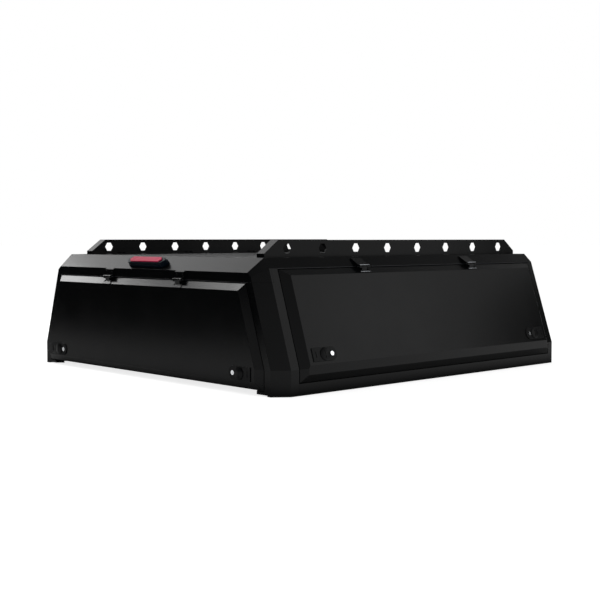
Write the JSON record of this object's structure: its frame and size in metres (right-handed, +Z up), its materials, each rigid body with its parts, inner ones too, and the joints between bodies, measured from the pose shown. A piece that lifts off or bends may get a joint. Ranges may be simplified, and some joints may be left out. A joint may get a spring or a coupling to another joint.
{
  "type": "pickup bed canopy",
  "caption": "Steel pickup-bed canopy with lockable gull-wing side hatches, a rear hatch on gas struts, roof rails with hexagonal holes and a high brake lamp.",
  "frame": {"origin": "centre of the bed rail bolt pattern on the plane where the base gasket meets the bed rails", "axes": "+X to the truck's right, +Y to the truck's front, +Z up"},
  "size_m": [1.5768, 1.6085, 0.529],
  "materials": {
    "textured_black_steel": "satin textured powder coat",
    "inner_steel": "satin powder coat",
    "hinge_steel": "satin powder coat",
    "epdm_rubber": "matte",
    "chrome_plated_zinc": "polished",
    "black_lock_casting": "semi-gloss",
    "bright_steel": "bright",
    "zinc_plated_steel": "satin",
    "black_painted_tube": "gloss",
    "lamp_housing_plastic": "gloss",
    "red_lens_plastic": "gloss",
    "circuit_board": "matte"
  },
  "bodies": {
    "canopy": {"roof_panel": "textured_black_steel", "rear_header": "textured_black_steel", "front_panel": "textured_black_steel", "right_corner_post": "textured_black_steel", "left_corner_post": "textured_black_steel", "right_sill": "textured_black_steel", "left_sill": "textured_black_steel", "right_door_jamb": "inner_steel", "left_door_jamb": "inner_steel", "rear_door_jamb": "inner_steel", "roof_bows": "inner_steel", "right_roof_rail": "textured_black_steel", "left_roof_rail": "textured_black_steel", "rail_bolts": "hinge_steel", "brake_lamp_housing": "lamp_housing_plastic", "brake_lamp_lens": "red_lens_plastic", "brake_lamp_board": "circuit_board", "right_door_seal": "epdm_rubber", "left_door_seal": "epdm_rubber", "rear_door_seal": "epdm_rubber", "bed_gasket": "epdm_rubber", "right_hinge_frame_leaves": "hinge_steel", "left_hinge_frame_leaves": "hinge_steel", "rear_hinge_frame_leaves": "hinge_steel", "hinge_pins": "bright_steel", "strut_brackets": "zinc_plated_steel"},
    "right_door": {"right_door_skin": "textured_black_steel", "right_door_liner": "inner_steel", "right_hinge_door_leaves": "hinge_steel", "right_strut_studs": "zinc_plated_steel", "right_lock_plates": "black_lock_casting"},
    "right_strut_cylinder": {"right_strut_cylinders": "black_painted_tube"},
    "right_strut_rod": {"right_strut_rods": "bright_steel"},
    "left_door": {"left_door_skin": "textured_black_steel", "left_door_liner": "inner_steel", "left_hinge_door_leaves": "hinge_steel", "left_strut_studs": "zinc_plated_steel", "left_lock_plates": "black_lock_casting"},
    "left_strut_cylinder": {"left_strut_cylinders": "black_painted_tube"},
    "left_strut_rod": {"left_strut_rods": "bright_steel"},
    "rear_door": {"rear_door_skin": "textured_black_steel", "rear_door_liner": "inner_steel", "rear_hinge_door_leaves": "hinge_steel", "rear_strut_studs": "zinc_plated_steel", "rear_lock_plates": "black_lock_casting"},
    "rear_strut_cylinder": {"rear_strut_cylinders": "black_painted_tube"},
    "rear_strut_rod": {"rear_strut_rods": "bright_steel"},
    "right_rear_knob": {"right_rear_knob": "black_lock_casting"},
    "right_front_knob": {"right_front_knob": "black_lock_casting"},
    "left_rear_knob": {"left_rear_knob": "black_lock_casting"},
    "left_front_knob": {"left_front_knob": "black_lock_casting"},
    "rear_right_knob": {"rear_right_knob": "black_lock_casting"},
    "rear_left_knob": {"rear_left_knob": "black_lock_casting"},
    "right_rear_key": {"right_rear_key": "chrome_plated_zinc"},
    "right_front_key": {"right_front_key": "chrome_plated_zinc"},
    "left_rear_key": {"left_rear_key": "chrome_plated_zinc"},
    "left_front_key": {"left_front_key": "chrome_plated_zinc"},
    "rear_right_key": {"rear_right_key": "chrome_plated_zinc"},
    "rear_left_key": {"rear_left_key": "chrome_plated_zinc"}
  },
  "joints": [
    {"name": "right_door_hinge", "type": "hinge", "parent": "canopy", "child": "right_door", "pos_m": [0.67353, 0.032, 0.431], "axis": [0, -1, 0], "range_deg": [0, 70]},
    {"name": "right_strut_cylinder_pivot", "type": "hinge", "parent": "canopy", "child": "right_strut_cylinder", "pos_m": [0.48566, 0.032, 0.36241], "axis": [0, -1, 0], "range_deg": [0, 35]},
    {"name": "right_strut_rod_pivot", "type": "hinge", "parent": "right_door", "child": "right_strut_rod", "pos_m": [0.69116, 0.032, 0.23178], "axis": [0, -1, 0], "range_deg": [-35, 0]},
    {"name": "left_door_hinge", "type": "hinge", "parent": "canopy", "child": "left_door", "pos_m": [-0.67353, 0.032, 0.431], "axis": [0, 1, 0], "range_deg": [0, 70]},
    {"name": "left_strut_cylinder_pivot", "type": "hinge", "parent": "canopy", "child": "left_strut_cylinder", "pos_m": [-0.48566, 0.032, 0.36241], "axis": [0, 1, 0], "range_deg": [0, 35]},
    {"name": "left_strut_rod_pivot", "type": "hinge", "parent": "left_door", "child": "left_strut_rod", "pos_m": [-0.69116, 0.032, 0.23178], "axis": [0, 1, 0], "range_deg": [-35, 0]},
    {"name": "rear_door_hinge", "type": "hinge", "parent": "canopy", "child": "rear_door", "pos_m": [0, -0.802, 0.383], "axis": [-1, 0, 0], "range_deg": [0, 70]},
    {"name": "rear_strut_cylinder_pivot", "type": "hinge", "parent": "canopy", "child": "rear_strut_cylinder", "pos_m": [0, -0.60212, 0.37603], "axis": [-1, 0, 0], "range_deg": [0, 35]},
    {"name": "rear_strut_rod_pivot", "type": "hinge", "parent": "rear_door", "child": "rear_strut_rod", "pos_m": [0, -0.757, 0.18813], "axis": [-1, 0, 0], "range_deg": [-35, 0]},
    {"name": "right_rear_knob_turn", "type": "hinge", "parent": "right_door", "child": "right_rear_knob", "pos_m": [0.77604, -0.584, 0.136], "axis": [0.9507, 0, 0.31], "range_deg": [0, 90]},
    {"name": "right_rear_key_turn", "type": "hinge", "parent": "right_door", "child": "right_rear_key", "pos_m": [0.77604, -0.55, 0.136], "axis": [0.9507, 0, 0.31], "range_deg": [0, 90]},
    {"name": "right_front_knob_turn", "type": "hinge", "parent": "right_door", "child": "right_front_knob", "pos_m": [0.77604, 0.648, 0.136], "axis": [-0.9507, 0, -0.31], "range_deg": [0, 90]},
    {"name": "right_front_key_turn", "type": "hinge", "parent": "right_door", "child": "right_front_key", "pos_m": [0.77604, 0.614, 0.136], "axis": [-0.9507, 0, -0.31], "range_deg": [0, 90]},
    {"name": "left_rear_knob_turn", "type": "hinge", "parent": "left_door", "child": "left_rear_knob", "pos_m": [-0.77604, -0.584, 0.136], "axis": [0.9507, 0, -0.31], "range_deg": [0, 90]},
    {"name": "left_rear_key_turn", "type": "hinge", "parent": "left_door", "child": "left_rear_key", "pos_m": [-0.77604, -0.55, 0.136], "axis": [0.9507, 0, -0.31], "range_deg": [0, 90]},
    {"name": "left_front_knob_turn", "type": "hinge", "parent": "left_door", "child": "left_front_knob", "pos_m": [-0.77604, 0.648, 0.136], "axis": [-0.9507, 0, 0.31], "range_deg": [0, 90]},
    {"name": "left_front_key_turn", "type": "hinge", "parent": "left_door", "child": "left_front_key", "pos_m": [-0.77604, 0.614, 0.136], "axis": [-0.9507, 0, 0.31], "range_deg": [0, 90]},
    {"name": "rear_left_knob_turn", "type": "hinge", "parent": "rear_door", "child": "rear_left_knob", "pos_m": [-0.588, -0.81, 0.071], "axis": [0, -1, 0], "range_deg": [0, 90]},
    {"name": "rear_left_key_turn", "type": "hinge", "parent": "rear_door", "child": "rear_left_key", "pos_m": [-0.554, -0.81, 0.071], "axis": [0, -1, 0], "range_deg": [0, 90]},
    {"name": "rear_right_knob_turn", "type": "hinge", "parent": "rear_door", "child": "rear_right_knob", "pos_m": [0.588, -0.81, 0.071], "axis": [0, 1, 0], "range_deg": [0, 90]},
    {"name": "rear_right_key_turn", "type": "hinge", "parent": "rear_door", "child": "rear_right_key", "pos_m": [0.554, -0.81, 0.071], "axis": [0, 1, 0], "range_deg": [0, 90]}
  ],
  "couplings": [
    {"joint": "right_strut_cylinder_pivot", "follows": "right_door_hinge", "ratio": 0.5},
    {"joint": "right_strut_rod_pivot", "follows": "right_door_hinge", "ratio": -0.5},
    {"joint": "left_strut_cylinder_pivot", "follows": "left_door_hinge", "ratio": 0.5},
    {"joint": "left_strut_rod_pivot", "follows": "left_door_hinge", "ratio": -0.5},
    {"joint": "rear_strut_cylinder_pivot", "follows": "rear_door_hinge", "ratio": 0.5},
    {"joint": "rear_strut_rod_pivot", "follows": "rear_door_hinge", "ratio": -0.5}
  ]
}
